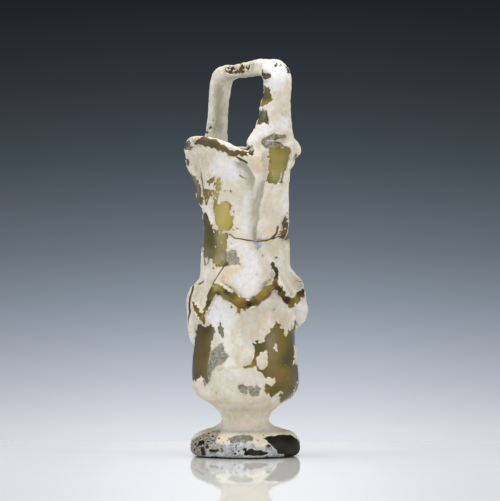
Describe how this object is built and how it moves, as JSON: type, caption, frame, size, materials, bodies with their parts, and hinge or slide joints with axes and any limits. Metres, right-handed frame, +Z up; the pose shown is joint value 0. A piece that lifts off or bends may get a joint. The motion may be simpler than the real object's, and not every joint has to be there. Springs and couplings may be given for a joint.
{
  "type": "glass kohl bottle",
  "caption": "Slim hollow glass kohl tube on a stemmed pad foot, with a basket handle over its mouth, side straps and a zigzag trail.",
  "frame": {"origin": "centre of the foot's flat underside", "axes": "+Z up along the tube; -Y towards the front, where the zigzag trail dips and the front strap is to the right; +X to the right seen from the front"},
  "size_m": [0.0433, 0.0394, 0.139],
  "materials": {
    "olive_glass": "clear olive glass, glossy where the weathering crust has flaked off",
    "weathering_crust": "matt cream and white flaking crust"
  },
  "bodies": {
    "root": {"kohl_bottle": "olive_glass"}
  },
  "joints": []
}
